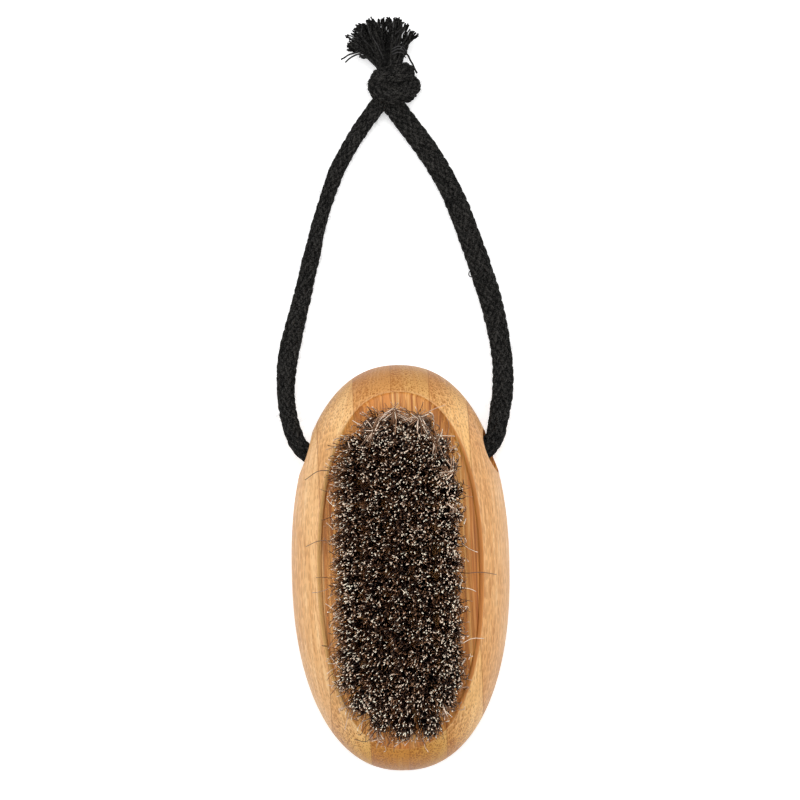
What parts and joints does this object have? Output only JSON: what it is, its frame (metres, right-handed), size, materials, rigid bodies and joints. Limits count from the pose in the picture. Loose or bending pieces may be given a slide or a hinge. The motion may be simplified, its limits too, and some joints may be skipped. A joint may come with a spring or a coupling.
{
  "type": "nail brush",
  "caption": "Oval bamboo nail brush with a flat bed of short natural bristle tufts, and a black braided cord loop threaded through one end, tied in a knot with a frayed tassel.",
  "frame": {"origin": "middle of the flat back that the brush lies on", "axes": "+Y along the block towards the cord hole, knot and tassel; +Z out of the bristles; +X across the block"},
  "size_m": [0.0526, 0.1697, 0.035],
  "materials": {
    "bamboo": "satin, carbonised laminated bamboo with a thin oil or wax",
    "bristle": "natural animal bristle, near black and brown with pale split tips",
    "cord": "matt black braided cotton"
  },
  "bodies": {
    "root": {"handle_block": "bamboo", "bristle_row_01": "bristle", "bristle_row_02": "bristle", "bristle_row_03": "bristle", "bristle_row_04": "bristle", "bristle_row_05": "bristle", "bristle_row_06": "bristle", "bristle_row_07": "bristle", "bristle_row_08": "bristle", "bristle_row_09": "bristle", "bristle_row_10": "bristle", "bristle_row_11": "bristle", "bristle_row_12": "bristle", "bristle_row_13": "bristle", "bristle_row_14": "bristle", "cord_left_leg": "cord", "cord_right_leg": "cord", "cord_hole_stretch": "cord", "cord_knot": "cord", "cord_tassel": "cord"}
  },
  "joints": []
}
